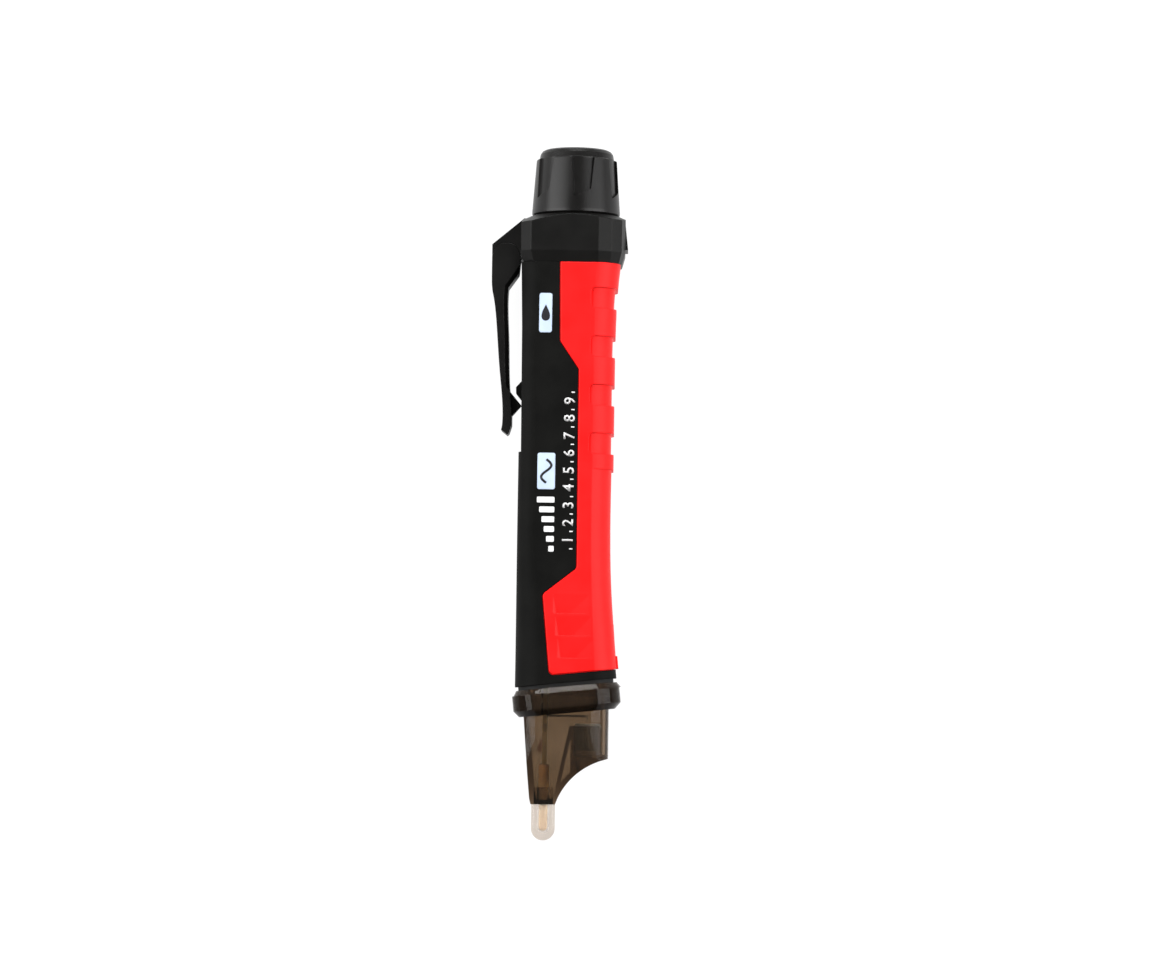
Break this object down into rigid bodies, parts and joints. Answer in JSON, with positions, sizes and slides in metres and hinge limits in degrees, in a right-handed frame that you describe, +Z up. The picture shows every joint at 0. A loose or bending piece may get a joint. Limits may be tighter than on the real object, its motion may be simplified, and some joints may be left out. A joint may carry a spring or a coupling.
{
  "type": "non contact voltage tester",
  "caption": "Pen-shaped voltage detector with a sensing tip, smoky nose, rubber grip, press buttons, sprung pocket clip and screw-off tail cap over its cells.",
  "frame": {"origin": "centre of the footprint, on the surface the pen lies on", "axes": "+Y along the pen from sensing tip to tail cap, +Z up through the lettered side, -X towards the clip and buttons"},
  "size_m": [0.0314, 0.16, 0.022],
  "materials": {
    "black_body": "matte moulded",
    "red_grip": "soft satin overmould",
    "satin_black": "satin moulded",
    "smoky_clear": "smoky translucent",
    "tip_clear": "frosted clear",
    "seal_rubber": "soft",
    "brass": "plain",
    "plated": "bright",
    "spring_steel": "plain",
    "reflector": "polished",
    "lens_clear": "clear",
    "lamp_clear": "clear",
    "lamp_red": "clear red",
    "board": "lacquered",
    "component": "matte",
    "cell": "printed sleeve"
  },
  "bodies": {
    "housing": {"barrel": "black_body", "grip_overmould": "red_grip", "nose_gasket": "seal_rubber", "nose_cone": "smoky_clear", "sensing_tip": "tip_clear", "sensor_probe": "brass", "torch_lens": "lens_clear", "torch_reflector": "reflector", "torch_lamp": "lamp_clear", "torch_leads": "plated", "circuit_board": "board", "controller_chip": "component", "surface_mount_parts": "component", "alarm_lamp": "lamp_red", "buzzer": "component", "power_switch_body": "component", "torch_switch_body": "component", "contact_holder": "satin_black", "positive_contact": "plated", "front_cell": "cell", "rear_cell": "cell", "negative_strip": "plated", "spigot_contact_ring": "brass", "cap_seal_ring": "seal_rubber", "clip_collar": "satin_black"},
    "cap_contacts": {"cap_contact_cup": "plated", "cap_spring": "spring_steel"},
    "cap": {"tail_cap": "satin_black"},
    "clip": {"clip_arm": "black_body"},
    "power_press": {"power_button": "satin_black", "power_switch_plunger": "satin_black"},
    "torch_press": {"torch_button": "satin_black", "torch_switch_plunger": "satin_black"}
  },
  "joints": [
    {"name": "cap_slide", "type": "slide", "parent": "housing", "child": "cap_contacts", "axis": [0, 1, 0], "range_m": [0, 0.00437]},
    {"name": "cap_spin", "type": "hinge", "parent": "cap_contacts", "child": "cap", "pos_m": [0.00347, 0.07, 0.011], "axis": [0, 1, 0], "range_deg": [0, 600]},
    {"name": "clip_flex", "type": "hinge", "parent": "housing", "child": "clip", "pos_m": [-0.01243, 0.0546, 0.011], "axis": [0, 0, -1], "range_deg": [0, 4.5], "stiffness_Nm_per_rad": 2},
    {"name": "power_press_slide", "type": "slide", "parent": "housing", "child": "power_press", "axis": [1, 0, 0], "range_m": [0, 0.0005], "stiffness_N_per_m": 1500},
    {"name": "torch_press_slide", "type": "slide", "parent": "housing", "child": "torch_press", "axis": [1, 0, 0], "range_m": [0, 0.0005], "stiffness_N_per_m": 1500}
  ],
  "couplings": [
    {"joint": "cap_slide", "follows": "cap_spin", "m_per_rad": 0.00039789}
  ]
}
